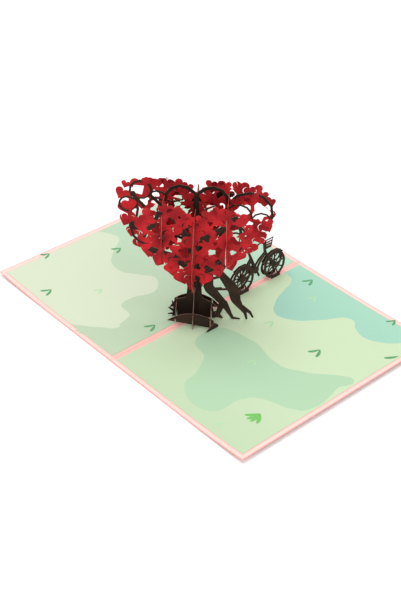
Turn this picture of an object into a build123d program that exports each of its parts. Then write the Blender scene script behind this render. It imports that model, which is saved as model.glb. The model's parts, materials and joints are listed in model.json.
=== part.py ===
"""Pop-up card: a heart-shaped tree of slotted slats, with a couple and a bicycle, on an opened folded cover.

X runs across the fold, Y along it and Z up. The origin is on the cover's underside, in the middle of the fold.
"""
from build123d import *
from math import acos, asin, atan2, ceil, copysign, cos, degrees, hypot, pi, radians, sin, sqrt
import os

os.makedirs("parts", exist_ok=True)

# Cover: one sheet of pink card, folded once, that lies open
leaf_width = 127.0
card_length = 178.0
cover_thickness = 0.35
flat_reach = 60.0
edge_lift = 2.5
crease_width = 1.4
crease_height = 0.12

# Printed liners glued on the two leaves
liner_thickness = 0.2
glue_film = 0.06
liner_margin = 3.8
fold_strip = 5.4
slit_clearance = 0.15

# Slats of the tree and the red paper glued on them
slat_thickness = 0.35
blossom_thickness = 0.2
slot_clearance = 0.1
tree_y = -0.087 * card_length
slat_pitch = 20.5
base_pitch = 12.0

# Trunk and the foot under it
trunk_half = 5.3
trunk_top_half = 1.7
foot_height = 17.5
foot_reach = 15.0
foot_shoulder = 12.5

# Crowns: half width, and the heights of the point, of the lobes and of the notch between them
middle_half = 51.0
middle_tip = 24.0
middle_top = 112.0
front_half = 38.0
front_tip = 39.0
front_top = 104.5
cross_half = 37.5
cross_tip = 24.0
cross_top = 96.0
side_half = 27.0
side_tip = 52.0
side_top = 103.5
rear_half = 27.0
rear_tip = 50.0
rear_top = 97.0

# Heights where the two families of slats are slotted into each other
trunk_slot = 45.0
front_slot = 66.0
side_slot = 80.0
base_slot = 6.5

# Small arched slats round the foot and the anchors on the leaves
mound_reach = 17.5
mound_height = 12.0
mound_end_height = 7.0
front_mound_lift = 5.0
rear_mound_lift = 1.2
base_arch_height = 13.0
base_arch_lift = 5.0
anchor_x = 19.0
anchor_length = 10.7
anchor_height = 5.4

# Heart outline, as shares of its width
lobe_share = 0.275
drop_share = 0.62
rim_heart = 10.2
rim_pitch = 9.8
rim_inset = 4.4
sheet_inset = 5.4
heart_spread = 0.16
heart_lean = 26.0
knot_ring = 6.0

# Great heart of a crown: how full its flanks are, and how deep the notch dips in the wide and narrow crowns
crown_fullness = 1.9
deep_dip = 5.0
shallow_dip = 2.4

# Straight cuts that make up the small curves of the paper shapes
lobe_steps = 5
crown_steps = 14
curve_step = 34.0
arch_steps = 7
joint_sides = 8

# Couple
head_width = 5.4

# Bicycle: one folded sheet, its two sides leaning together over the fold
wheel_radius = 10.6
rim_width = 2.2
hub_radius = 2.0
spoke_width = 1.0
spoke_count = 9
rear_hub_y = 0.163 * card_length
wheel_base = 31.0
tube_width = 1.8
bicycle_height = 35.6
bicycle_spread = 2.6

liner_low = cover_thickness + glue_film
liner_top = liner_low + liner_thickness
slot_width = slat_thickness + 2 * blossom_thickness + 2 * slot_clearance
diagonal = sqrt(0.5)
along_a = Vector(diagonal, diagonal, 0)
along_b = Vector(diagonal, -diagonal, 0)
tree_centre = Vector(0, tree_y, 0)


def slat_plane_a(offset, lift=0.0):
    """Upright plane of a slat that shows its face to the front, seen with its own X to the right."""
    return Plane(origin=tree_centre + along_b * (offset + lift), x_dir=along_a, z_dir=along_b)


def slat_plane_b(offset, lift=0.0):
    """Upright plane of a cross slat, its own X pointing to the front."""
    return Plane(origin=tree_centre + along_a * (offset - lift), x_dir=along_b, z_dir=-along_a)


def arc_points(centre, radius, start, sweep, steps):
    """Corners of a cut curve: points round a centre, from one angle through a sweep, in degrees."""
    angles = [radians(start + sweep * step / steps) for step in range(steps + 1)]
    return [(centre[0] + radius * cos(angle), centre[1] + radius * sin(angle)) for angle in angles]


def heart(width):
    """Heart: two round lobes and straight flanks that meet in a point, its origin between the lobes."""
    radius = lobe_share * width
    centre = width / 2 - radius
    drop = drop_share * width
    touch = degrees(atan2(-drop, -centre) + acos(radius / hypot(centre, drop)))
    notch = degrees(atan2(sqrt(radius**2 - centre**2), -centre))
    with BuildSketch(mode=Mode.PRIVATE) as outline:
        with BuildLine():
            Polyline((0, -drop), *arc_points((centre, 0), radius, touch, notch - touch, lobe_steps))
            mirror(about=Plane.YZ)
        make_face()
    return outline.sketch


def arc_of(start, via, end):
    """Centre, radius, first angle and turn, in radians, of the arc through three points."""
    with BuildLine(mode=Mode.PRIVATE):
        spine = ThreePointArc(start, via, end)
    centre = spine.arc_center
    first = spine @ 0 - centre
    turn = spine.length / spine.radius
    if spine.tangent_at(0).cross(first).Z > 0:
        turn = -turn
    return centre, spine.radius, atan2(first.Y, first.X), turn


def bough(start, via, end, start_width, end_width):
    """Bough along the arc through three points, its width running from the first to the second."""
    centre, radius, first, turn = arc_of(start, via, end)
    steps = max(2, ceil(abs(degrees(turn)) / curve_step))
    angles = [first + turn * step / steps for step in range(steps + 1)]
    halves = [(start_width + (end_width - start_width) * step / steps) / 2 for step in range(steps + 1)]
    sides = []
    for sign in (1, -1):
        reaches = [radius + sign * half for half in halves]
        sides.append([(centre.X + r * cos(t), centre.Y + r * sin(t)) for r, t in zip(reaches, angles)])
    with BuildSketch(mode=Mode.PRIVATE) as outline:
        with BuildLine():
            Polyline(*sides[0], *reversed(sides[1]), close=True)
        make_face()
    return outline.sketch


def window(length, width):
    """Gap between neighbouring hearts: a leaning kite with one blunt end."""
    with BuildSketch(mode=Mode.PRIVATE) as outline:
        with BuildLine():
            Polyline(
                (-length / 2, 0),
                (-length * 0.1, width / 2),
                (length / 2, width * 0.2),
                (length * 0.15, -width / 2),
                close=True,
            )
        make_face()
    return outline.sketch


def disc(radius, sides=10):
    """Small round spot, cut with a few straight sides."""
    with BuildSketch(mode=Mode.PRIVATE) as outline:
        RegularPolygon(radius, sides)
    return outline.sketch


def ring(radius, width, sides=16):
    """Round loop of a bough."""
    with BuildSketch(mode=Mode.PRIVATE) as outline:
        RegularPolygon(radius, sides)
        RegularPolygon(radius - width, sides, mode=Mode.SUBTRACT)
    return outline.sketch


def limb(start, end, start_width, end_width):
    """Straight limb with round ends that tapers from one width to the other."""
    with BuildSketch(mode=Mode.PRIVATE) as outline:
        with Locations(start):
            RegularPolygon(start_width / 2, joint_sides)
        with Locations(end):
            RegularPolygon(end_width / 2, joint_sides)
        make_hull()
    return outline.sketch


def largest(sketch):
    """The piece that stays in the sheet: what the slots cut off falls away as scrap."""
    return sketch.sketch.faces().sort_by(SortBy.AREA)[-1]


def crown_place(across, up, half, tip, top):
    """Point of a crown, given in hundredths of its half width and of its height."""
    return (across / 100 * half, tip + up / 100 * (top - tip))


def crown_points(half, tip, top, inset, dip):
    """Corners of a crown's great heart, drawn by a formula and set back from its full size."""
    angles = [pi * step / crown_steps for step in range(2 * crown_steps)]
    rises = [13 * cos(t) - dip * cos(2 * t) - 2 * cos(3 * t) - cos(4 * t) for t in angles]
    low, high = min(rises), max(rises)
    points = []
    for angle, rise in zip(angles, rises):
        across = (half - inset) * copysign(abs(sin(angle)) ** crown_fullness, sin(angle))
        points.append((across, tip + inset + (top - tip - 2 * inset) * (rise - low) / (high - low)))
    return points


def add_crown(half, tip, top, windows, dip):
    """Adds a crown's red sheet to the sketch in hand: a great heart with small hearts all along its rim."""
    with BuildLine(mode=Mode.PRIVATE):
        rim = Polyline(*crown_points(half, tip, top, rim_inset, dip), close=True)
    count = round(rim.length / rim_pitch)
    with BuildSketch(mode=Mode.PRIVATE) as sheet:
        with BuildLine():
            Polyline(*crown_points(half, tip, top, sheet_inset, dip), close=True)
        make_face()
    add(sheet.sketch)
    for index in range(count):
        with Locations(rim @ ((index + 0.5) / count)):
            add(heart(rim_heart * (1 + heart_spread * sin(2.4 * index))), rotation=heart_lean * sin(1.7 * index + 1))
    for across, up, length, width, lean in windows:
        with Locations(crown_place(across, up, half, tip, top)):
            add(window(length, width), rotation=lean, mode=Mode.SUBTRACT)


def add_boughs(boughs, half, tip, top):
    """Adds boughs to the sketch in hand: each is three places in hundredths and its two widths."""
    for start, via, end, start_width, end_width in boughs:
        places = [crown_place(*p, half, tip, top) for p in (start, via, end)]
        add(bough(*places, start_width, end_width))


def cut_slot(place, low, high):
    """Cuts an upright slot into the sketch in hand, for the slat that crosses there."""
    with Locations((place, (low + high) / 2)):
        Rectangle(slot_width, high - low, mode=Mode.SUBTRACT)


def trunk(shoulder, top, top_half):
    """Trunk and the spreading foot under it, in one outline."""
    with BuildSketch(mode=Mode.PRIVATE) as outline:
        with BuildLine():
            ground = Line((0, liner_top), (foot_reach, liner_top))
            toe = Line(ground @ 1, (foot_shoulder, shoulder * 0.64))
            flare = ThreePointArc(toe @ 1, (trunk_half * 1.6, shoulder * 0.8), (trunk_half, shoulder * 1.05))
            bark = Line(flare @ 1, (trunk_half * 0.8, shoulder * 2))
            taper = Line(bark @ 1, (top_half, top))
            Line(taper @ 1, (0, top))
            mirror(about=Plane.YZ)
        make_face()
    return outline.sketch


# Windows of the red sheets: places in hundredths of the crown, then length, width and lean
front_windows = [
    (-68, 71, 12.3, 6.0, -38), (-71, 86, 5.8, 3.2, 10), (-29, 88, 10.1, 5.8, -50), (16, 82, 4.0, 2.9, 20),
    (71, 73, 10.8, 6.8, -15), (67, 60, 9.0, 6.8, 30), (89, 85, 4.5, 4.9, 60), (66, 47, 4.0, 3.8, 0),
    (42, 34, 4.8, 4.5, 0), (37, 46, 11.2, 5.2, 22), (-20, 29, 7.5, 6.0, 50), (-45, 45, 7.5, 3.2, 70),
    (-25, 61, 7.8, 3.8, 75), (-13, 16, 4.5, 4.6, 20), (25, 25, 7.2, 5.5, -30), (-59, 87, 7.5, 4.6, 80),
    (-40, 79, 7.0, 4.9, 20), (-14, 67, 7.8, 6.2, -50), (-14, 44, 9.4, 7.5, 75), (-69, 45, 7.5, 6.5, 0),
    (42, 72, 9.6, 7.2, -10), (19, 62, 7.8, 4.8, 20), (8, 50, 5.0, 4.9, 45), (7, 14, 5.5, 4.3, -60),
    (6, 28, 5.8, 3.5, -70), (68, 30, 5.8, 3.8, 10), (67, 87, 6.8, 5.8, 90), (-38, 54, 5.2, 3.2, 20),
]
rear_windows = [
    (-44, 69, 10.0, 6.4, 10), (36, 54, 9.0, 7.0, 40), (-26, 32, 6.4, 5.0, 20),
    (-52, 44, 5.4, 4.0, 50), (20, 28, 5.0, 3.4, 30), (8, 78, 6.0, 4.4, 60),
]
middle_windows = [
    (-75, 87, 10.0, 8.4, 20), (-53, 84, 7.4, 3.8, 5), (-52, 77, 6.4, 3.2, 5), (-24, 84, 10.4, 5.4, 8),
    (19, 74, 8.6, 7.4, 45), (57, 73, 13.0, 10.4, -20), (82, 73, 15.0, 9.4, 95), (45, 87, 8.0, 4.6, 80),
    (-94, 77, 5.0, 3.0, 70), (29, 86, 7.0, 5.0, 70), (-46, 92, 6.0, 4.0, 30), (-73, 67, 11.0, 6.0, 85),
    (-66, 50, 10.0, 5.4, -50), (-50, 62, 8.0, 4.4, -50), (-27, 68, 8.0, 4.4, 70), (-12, 62, 5.4, 4.0, 0),
    (28, 60, 6.0, 4.4, 10), (54, 52, 12.0, 8.0, -20), (68, 62, 5.0, 4.4, 60), (49, 35, 6.4, 5.4, 30),
    (30, 25, 5.4, 5.0, 0), (15, 19, 5.4, 4.0, -30), (-16, 20, 6.0, 5.0, 60), (-34, 33, 8.4, 4.4, 70),
    (-19, 45, 8.0, 4.4, 75), (20, 35, 7.4, 4.0, -30),
]
cross_windows = [
    (-60, 74, 9.0, 5.0, 40), (60, 74, 9.0, 5.0, 140), (-24, 70, 8.0, 4.4, 80), (24, 70, 8.0, 4.4, 100),
    (-56, 44, 7.0, 4.0, 30), (56, 44, 7.0, 4.0, 150), (-24, 34, 8.0, 4.4, 60), (24, 34, 8.0, 4.4, 120),
]
side_windows = [
    (-52, 76, 7.0, 4.0, 40), (52, 76, 7.0, 4.0, 140), (-22, 66, 6.4, 3.6, 80),
    (22, 66, 6.4, 3.6, 100), (-34, 34, 6.0, 3.4, 30), (34, 34, 6.0, 3.4, 150),
]

# Boughs of the middle crown: places in hundredths, then the widths at the two ends
middle_boughs = [
    ((1, 76), (22, 92), (40, 79), 3.0, 2.0),
    ((-3, 75), (-25, 92), (-40, 79), 3.0, 2.0),
    ((40, 79), (71, 89), (90, 60), 1.9, 1.6),
    ((40, 75), (59, 78), (71, 67), 1.4, 1.3),
    ((71, 67), (82, 72), (95, 68), 1.2, 1.2),
    ((85, 54), (77, 43), (60, 36), 1.7, 2.3),
    ((5, 18), (28, 27), (62, 37), 3.4, 2.2),
    ((-3, 52), (-30, 66), (-60, 84), 3.0, 2.0),
    ((-59, 83), (-73, 95), (-82, 82), 2.0, 1.4),
    ((-82, 83), (-72, 80), (-60, 83), 1.2, 1.2),
    ((-81, 84), (-74, 78), (-66, 73), 2.0, 2.2),
    ((-81, 84), (-75, 73), (-78, 58), 1.8, 1.6),
    ((-84, 54), (-80, 46), (-60, 40), 1.3, 2.2),
    ((-5, 18), (-28, 27), (-62, 41), 3.4, 2.2),
    ((-60, 84), (-52, 87), (-40, 84), 1.3, 1.2),
    ((-61, 78), (-54, 81), (-41, 77), 1.3, 1.2),
    ((-41, 80), (-24, 79), (-11, 86), 1.2, 1.1),
    ((3, 62), (12, 73), (25, 77), 1.7, 1.0),
    ((4, 36), (16, 48), (39, 54), 2.6, 1.6),
    ((-4, 36), (-16, 46), (-39, 52), 2.6, 1.6),
]
middle_knots = [((-80, 56), 3.5), ((85, 57), 3.6), ((-81, 84), 1.9), ((19, 71), 2.2)]

# Boughs of the front crown: a trunk that parts in two, and twigs that run out to the flanks
front_boughs = [
    ((0, 2), (-2, 22), (0, 48), 4.6, 7.0),
    ((0, 44), (-10, 60), (-24, 72), 5.8, 4.4),
    ((-22, 70), (-36, 84), (-62, 89), 4.0, 2.4),
    ((-1, 26), (-38, 40), (-76, 46), 3.4, 4.6),
    ((-76, 44), (-86, 58), (-70, 74), 2.6, 3.4),
    ((-70, 72), (-64, 82), (-60, 90), 3.0, 2.6),
    ((-78, 67), (-66, 63), (-50, 61), 1.8, 1.6),
    ((0, 44), (6, 56), (18, 62), 5.4, 4.4),
    ((16, 60), (40, 70), (70, 88), 4.6, 3.2),
    ((1, 15), (26, 26), (54, 36), 3.2, 2.6),
    ((53, 35), (80, 52), (76, 76), 2.6, 2.0),
    ((78, 74), (76, 82), (68, 88), 2.0, 2.2),
    ((56, 62), (68, 70), (82, 58), 1.3, 1.3),
    ((60, 78), (73, 78), (86, 70), 1.5, 1.4),
    ((20, 44), (36, 51), (52, 50), 1.6, 1.4),
    ((0, 44), (2, 60), (-10, 74), 3.0, 2.4),
]

# Boughs and knots of the rear crown
rear_boughs = [
    ((0, 3), (-3, 34), (2, 76), 4.4, 3.2),
    ((0, 54), (-40, 80), (-88, 80), 3.2, 2.6),
    ((0, 54), (40, 80), (88, 80), 3.2, 2.6),
    ((0, 20), (-30, 28), (-62, 46), 3.0, 2.0),
    ((0, 20), (30, 28), (62, 46), 3.0, 2.0),
]
rear_knots = [((52, 76), 4.4), ((-84, 78), 3.6)]

# Boughs of the middle cross slat
cross_boughs = [
    ((0, 8), (-36, 32), (-82, 64), 3.6, 2.0),
    ((0, 8), (36, 32), (82, 64), 3.6, 2.0),
    ((-78, 60), (-86, 78), (-70, 92), 2.0, 1.4),
    ((78, 60), (86, 78), (70, 92), 2.0, 1.4),
    ((-4, 28), (-26, 52), (-34, 86), 2.6, 1.6),
    ((4, 28), (26, 52), (34, 86), 2.6, 1.6),
    ((-66, 52), (-62, 66), (-72, 78), 1.6, 1.4),
    ((66, 52), (62, 66), (72, 78), 1.6, 1.4),
]

# Boughs of the left and right cross slats
side_boughs = [
    ((0, 4), (-3, 40), (-10, 90), 3.6, 1.8),
    ((0, 12), (-44, 30), (-86, 62), 3.0, 1.8),
    ((0, 12), (44, 30), (86, 62), 3.0, 1.8),
    ((4, 24), (18, 56), (30, 88), 2.4, 1.6),
    ((-84, 56), (-96, 70), (-90, 86), 1.8, 1.4),
    ((84, 56), (96, 70), (90, 86), 1.8, 1.4),
]

# Cover: both leaves in one sheet, flat near the fold, their outer edges curling up a little
curl_run = leaf_width - flat_reach
curl_radius = (curl_run**2 + edge_lift**2) / (2 * edge_lift)


def leaf_strip(inner, outer, low, thickness):
    """Section of a sheet that lies on a leaf, from one distance from the fold to another, as a closed outline."""
    run = outer - flat_reach
    sweep = degrees(asin(run / curl_radius))
    with BuildSketch(Plane.XZ, mode=Mode.PRIVATE) as section:
        with BuildLine():
            under = Line((inner, low), (flat_reach, low))
            under_curl = JernArc(under @ 1, (1, 0), curl_radius - low, sweep)
            upper = Line((inner, low + thickness), (flat_reach, low + thickness))
            upper_curl = JernArc(upper @ 1, (1, 0), curl_radius - low - thickness, sweep)
            Line(under @ 0, upper @ 0)
            Line(under_curl @ 1, upper_curl @ 1)
        make_face()
    return section.sketch


with BuildPart() as cover:
    with BuildSketch(Plane.XZ):
        add(leaf_strip(0, leaf_width, 0, cover_thickness))
        mirror(about=Plane.YZ)
        with BuildLine():
            bead_left = (-crease_width / 2, cover_thickness)
            bead_right = (crease_width / 2, cover_thickness)
            bead = ThreePointArc(bead_left, (0, cover_thickness + crease_height), bead_right)
            Line(bead @ 0, bead @ 1)
        make_face()
        with BuildLine():
            score = ThreePointArc((-crease_width / 2, 0), (0, crease_height), (crease_width / 2, 0))
            Line(score @ 0, score @ 1)
        make_face(mode=Mode.SUBTRACT)
    extrude(amount=card_length / 2, both=True)
cover.part.label = "cover"
export_step(cover.part, "parts/cover.step")


def make_liner(side):
    """Printed sheet glued on one leaf, with the slit that the anchor's tongue passes through."""
    with BuildPart() as liner:
        with BuildSketch(Plane.XZ):
            add(leaf_strip(fold_strip / 2, leaf_width - liner_margin, liner_low, liner_thickness))
        extrude(amount=card_length / 2 - liner_margin, both=True)
        with Locations((anchor_x, tree_y, cover_thickness)):
            Box(
                slat_thickness + 2 * slit_clearance,
                anchor_length + 2 * slit_clearance,
                4 * liner_thickness,
                mode=Mode.SUBTRACT,
            )
        if side < 0:
            mirror(about=Plane.YZ, mode=Mode.REPLACE)
    return liner


for liner_name, side in (("left_liner", -1), ("right_liner", 1)):
    liner = make_liner(side)
    liner.part.label = liner_name
    export_step(liner.part, f"parts/{liner_name}.step")


def make_anchor(side):
    """Low pointed tab that stands in the liner's slit and holds the corner of the foot's lattice."""
    with BuildPart() as anchor:
        with BuildSketch(Plane(origin=(side * anchor_x, tree_y, 0), x_dir=(0, 1, 0), z_dir=(1, 0, 0))):
            with BuildLine():
                shoulder = (anchor_length * 0.32, anchor_height * 0.78)
                brow = (-anchor_length * 0.2, anchor_height * 0.66)
                base = Line((-anchor_length / 2, cover_thickness), (anchor_length / 2, cover_thickness))
                back = Line(base @ 1, (anchor_length / 2, anchor_height * 0.4))
                peak = ThreePointArc(back @ 1, shoulder, (anchor_length * 0.14, anchor_height))
                slope = ThreePointArc(peak @ 1, brow, (-anchor_length / 2, liner_top * 2))
                Line(slope @ 1, base @ 0)
            make_face()
        extrude(amount=slat_thickness / 2, both=True)
    return anchor


for anchor_name, side in (("left_anchor", -1), ("right_anchor", 1)):
    anchor = make_anchor(side)
    anchor.part.label = anchor_name
    export_step(anchor.part, f"parts/{anchor_name}.step")

# Small arched slats of the foot: each is held at one end by an anchor, and its other end is free
anchor_face = anchor_x - slat_thickness / 2 - slot_clearance
held_end = anchor_face / diagonal - base_pitch - slat_thickness / 2


def low_arch(reach, height, lift):
    """Arched slat, its held end to the right and its free tip, lifted off the leaf, to the left."""
    with BuildSketch(mode=Mode.PRIVATE) as outline:
        with BuildLine():
            held_top = (held_end, mound_end_height)
            centre, radius, first, turn = arc_of(held_top, (-reach * 0.12, height), (-reach, lift + liner_top))
            top = arc_points((centre.X, centre.Y), radius, degrees(first), degrees(turn), arch_steps)
            Polyline(*top, (held_end, liner_top), close=True)
        make_face()
    return outline.sketch


def make_mound(side, lift):
    """Arched slat of the first family, in front of the foot or behind it."""
    with BuildPart() as mound:
        with BuildSketch(slat_plane_a(side * base_pitch)) as outline:
            add(low_arch(mound_reach, mound_height, lift))
            if side < 0:
                mirror(about=Plane.YZ, mode=Mode.REPLACE)
            for place in (-base_pitch, 0, base_pitch):
                cut_slot(place, -1, base_slot + slot_clearance)
        extrude(largest(outline), amount=slat_thickness / 2, both=True)
    return mound


for mound_name, side, lift in (("front_mound", 1, front_mound_lift), ("rear_mound", -1, rear_mound_lift)):
    mound = make_mound(side, lift)
    mound.part.label = mound_name
    export_step(mound.part, f"parts/{mound_name}.step")


def make_base_arch(side):
    """Arched slat of the second family, on the left or the right of the foot."""
    with BuildPart() as arch:
        with BuildSketch(slat_plane_b(side * base_pitch)) as outline:
            add(low_arch(held_end, base_arch_height, base_arch_lift))
            if side < 0:
                mirror(about=Plane.YZ, mode=Mode.REPLACE)
            for place in (-base_pitch, 0, base_pitch):
                cut_slot(place, base_slot - slot_clearance, 2 * base_arch_height)
        extrude(largest(outline), amount=slat_thickness / 2, both=True)
    return arch


for arch_name, side in (("left_base_arch", -1), ("right_base_arch", 1)):
    arch = make_base_arch(side)
    arch.part.label = arch_name
    export_step(arch.part, f"parts/{arch_name}.step")

# Middle slat: foot with grass at both ends, trunk, and the widest crown
middle_size = (middle_half, middle_tip, middle_top)
bank_outline = [
    (-95, 0), (-85, 65), (-85, 84), (-36, 99), (36, 99), (80, 78),
    (108, 58), (103, 55), (75, 56), (84, 26), (97, 0),
]
middle_tufts = [
    ((-11.5, 2.5), (-14.5, 6.0), (-17.6, 7.6), 4.5, 0.6),
    ((-11.5, 6.0), (-13.8, 10.0), (-15.2, 13.6), 4.0, 0.5),
    ((-12.0, 1.8), (-15.0, 2.6), (-18.0, 2.2), 2.4, 0.6),
    ((12.6, 3.0), (13.6, 5.0), (15.8, 6.6), 3.0, 0.5),
    ((12.0, 2.2), (15.5, 3.2), (18.6, 6.2), 3.2, 0.6),
    ((12.0, 1.8), (16.0, 1.8), (19.4, 1.0), 2.2, 0.5),
]


def bank():
    """Low bank of earth round the trunk, its places in hundredths of the foot's reach and height."""
    with BuildSketch(mode=Mode.PRIVATE) as outline:
        with BuildLine():
            places = [crown_place(*place, foot_reach, liner_top, foot_height) for place in bank_outline]
            Polyline(*places, close=True)
        make_face()
    return outline.sketch


def cut_middle_slots():
    """Slots of the middle slat: the cross slats', and those of the two base arches."""
    cut_slot(0, -1, trunk_slot + slot_clearance)
    for side in (-1, 1):
        cut_slot(side * base_pitch, -1, base_slot + slot_clearance)
        cut_slot(side * slat_pitch, middle_tip, side_slot + slot_clearance)


def cut_front_slots():
    """Slots of the front and rear slats."""
    cut_slot(0, -1, front_slot + slot_clearance)
    for side in (-1, 1):
        cut_slot(side * slat_pitch, -1, side_slot + slot_clearance)


def cut_cross_slots():
    """Slots of the middle cross slat, which stands on its own foot."""
    above = cross_top + middle_top
    cut_slot(0, trunk_slot - slot_clearance, above)
    for side in (-1, 1):
        cut_slot(side * slat_pitch, front_slot - slot_clearance, above)
        cut_slot(side * base_pitch, base_slot - slot_clearance, foot_height * 1.1)


def cut_side_slots():
    """Slots of the left and right cross slats."""
    above = side_top + middle_top
    for place in (-slat_pitch, 0, slat_pitch):
        cut_slot(place, side_slot - slot_clearance, above)


with BuildPart() as middle_slat:
    with BuildSketch(slat_plane_a(0)) as middle_outline:
        add(trunk(foot_height, middle_tip + 0.78 * (middle_top - middle_tip), trunk_top_half))
        add(bank())
        for tuft in middle_tufts:
            add(bough(*tuft))
        add_boughs(middle_boughs, *middle_size)
        for place, radius in middle_knots:
            with Locations(crown_place(*place, *middle_size)):
                add(disc(radius))
        with Locations(crown_place(-88, 75, *middle_size)):
            add(ring(knot_ring, 1.3))
        cut_middle_slots()
    extrude(largest(middle_outline), amount=slat_thickness / 2, both=True)
middle_slat.part.label = "middle_slat"
export_step(middle_slat.part, "parts/middle_slat.step")

with BuildPart() as middle_blossom:
    with BuildSketch(slat_plane_a(0, -slat_thickness / 2)) as middle_petals:
        add_crown(*middle_size, middle_windows, deep_dip)
        cut_middle_slots()
    extrude(largest(middle_petals), amount=-blossom_thickness)
middle_blossom.part.label = "middle_blossom"
export_step(middle_blossom.part, "parts/middle_blossom.step")

# Front and rear slats: crowns alone, carried by the cross slats
front_size = (front_half, front_tip, front_top)
rear_size = (rear_half, rear_tip, rear_top)


def make_crown_slat(side, size, boughs, knots):
    """Slat of the front or the rear crown."""
    with BuildPart() as slat:
        with BuildSketch(slat_plane_a(side * slat_pitch)) as outline:
            add_boughs(boughs, *size)
            for place, radius in knots:
                with Locations(crown_place(*place, *size)):
                    add(disc(radius))
            cut_front_slots()
        extrude(largest(outline), amount=slat_thickness / 2, both=True)
    return slat


def make_crown_blossom(side, size, windows):
    """Red sheet glued on the outer face of the front or the rear slat."""
    with BuildPart() as blossom:
        with BuildSketch(slat_plane_a(side * slat_pitch, side * slat_thickness / 2)) as outline:
            add_crown(*size, windows, deep_dip)
            cut_front_slots()
        extrude(largest(outline), amount=side * blossom_thickness)
    return blossom


front_slat = make_crown_slat(1, front_size, front_boughs, [])
front_slat.part.label = "front_slat"
export_step(front_slat.part, "parts/front_slat.step")
front_blossom = make_crown_blossom(1, front_size, front_windows)
front_blossom.part.label = "front_blossom"
export_step(front_blossom.part, "parts/front_blossom.step")
rear_slat = make_crown_slat(-1, rear_size, rear_boughs, rear_knots)
rear_slat.part.label = "rear_slat"
export_step(rear_slat.part, "parts/rear_slat.step")
rear_blossom = make_crown_blossom(-1, rear_size, rear_windows)
rear_blossom.part.label = "rear_blossom"
export_step(rear_blossom.part, "parts/rear_blossom.step")

# Cross slats: one through the trunk, one on each side of it
cross_size = (cross_half, cross_tip, cross_top)
with BuildPart() as cross_slat:
    with BuildSketch(slat_plane_b(0)) as cross_outline:
        add(trunk(foot_height, front_slot, trunk_top_half))
        add_boughs(cross_boughs, *cross_size)
        cut_cross_slots()
    extrude(largest(cross_outline), amount=slat_thickness / 2, both=True)
cross_slat.part.label = "cross_slat"
export_step(cross_slat.part, "parts/cross_slat.step")

with BuildPart() as cross_blossom:
    with BuildSketch(slat_plane_b(0, slat_thickness / 2)) as cross_petals:
        add_crown(*cross_size, cross_windows, shallow_dip)
        cut_cross_slots()
    extrude(largest(cross_petals), amount=blossom_thickness)
cross_blossom.part.label = "cross_blossom"
export_step(cross_blossom.part, "parts/cross_blossom.step")

side_size = (side_half, side_tip, side_top)
for slat_name, side in (("left_cross", -1), ("right_cross", 1)):
    with BuildPart() as slat:
        with BuildSketch(slat_plane_b(side * slat_pitch)) as slat_outline:
            add_boughs(side_boughs, *side_size)
            cut_side_slots()
        extrude(largest(slat_outline), amount=slat_thickness / 2, both=True)
    slat.part.label = f"{slat_name}_slat"
    export_step(slat.part, f"parts/{slat_name}_slat.step")
    with BuildPart() as blossom:
        with BuildSketch(slat_plane_b(side * slat_pitch, -side * slat_thickness / 2)) as petals:
            add_crown(*side_size, side_windows, shallow_dip)
            cut_side_slots()
        extrude(largest(petals), amount=-side * blossom_thickness)
    blossom.part.label = f"{slat_name}_blossom"
    export_step(blossom.part, f"parts/{slat_name}_blossom.step")

# Couple: one cut-out of brown card, glued on the front of the middle slat, beside the trunk
couple_limbs = [
    ((9.8, 37.0), (9.4, 27.0), 5.4, 7.0),
    ((10.2, 25.6), (19.4, 14.8), 7.4, 5.2),
    ((19.0, 12.8), (16.8, 5.4), 5.0, 3.4),
    ((16.8, 4.8), (13.8, 1.9), 3.2, 2.0),
    ((17.4, 3.6), (19.6, 1.3), 2.0, 1.2),
    ((20.6, 13.8), (24.4, 6.0), 5.2, 3.2),
    ((24.4, 6.0), (26.6, 1.9), 3.0, 2.2),
    ((26.8, 1.7), (31.6, 1.3), 2.0, 1.0),
    ((17.6, 38.0), (25.6, 26.8), 5.0, 8.0),
    ((26.6, 25.6), (28.0, 18.4), 8.0, 7.2),
    ((28.4, 17.4), (31.2, 12.4), 6.8, 4.4),
    ((31.4, 11.8), (35.2, 6.6), 3.6, 2.4),
    ((35.2, 6.6), (36.3, 1.6), 2.4, 1.4),
    ((32.2, 12.0), (38.6, 7.0), 3.6, 2.2),
    ((38.6, 7.0), (40.6, 3.2), 2.0, 1.2),
    ((22.6, 25.8), (13.4, 24.8), 1.7, 1.5),
    ((18.2, 26.3), (14.0, 26.0), 1.6, 1.2),
    ((17.8, 36.2), (11.0, 33.4), 2.2, 2.0),
]
couple_heads = [(11.2, 42.4), (18.0, 44.0)]
couple_necks = [(10.4, 39.2), (17.8, 40.4)]

with BuildPart() as couple:
    with BuildSketch(slat_plane_a(0, slat_thickness / 2)) as couple_outline:
        for start, end, start_width, end_width in couple_limbs:
            add(limb(start, end, start_width, end_width))
        for place in couple_heads:
            with Locations(place):
                add(disc(head_width / 2))
        with Locations(*couple_necks):
            Rectangle(2.2, 4.4)
    extrude(largest(couple_outline), amount=slat_thickness)
couple.part.label = "couple"
export_step(couple.part, "parts/couple.step")

# Bicycle: the right side is drawn in its leaning plane, from the rear hub, and the left side mirrors it
bicycle_rise = bicycle_height - liner_top
ridge = hypot(bicycle_spread, bicycle_rise)
hub_height = wheel_radius + 0.6
rear_hub = (0.0, hub_height)
front_hub = (wheel_base, hub_height)
crank = (0.42 * wheel_base, hub_height + 3.0)
head_low = (0.72 * wheel_base, 24.5)
head_high = (0.66 * wheel_base, 33.0)
saddle = (0.16 * wheel_base, ridge - 1.8)
handlebar = (head_high[0] - 2.6, ridge - 0.3)
grip = (head_high[0] - 6.6, ridge - 1.2)
side_plane = Plane(
    origin=(bicycle_spread, rear_hub_y, liner_top),
    x_dir=(0, 1, 0),
    z_dir=(bicycle_rise, 0, bicycle_spread),
)


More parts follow.
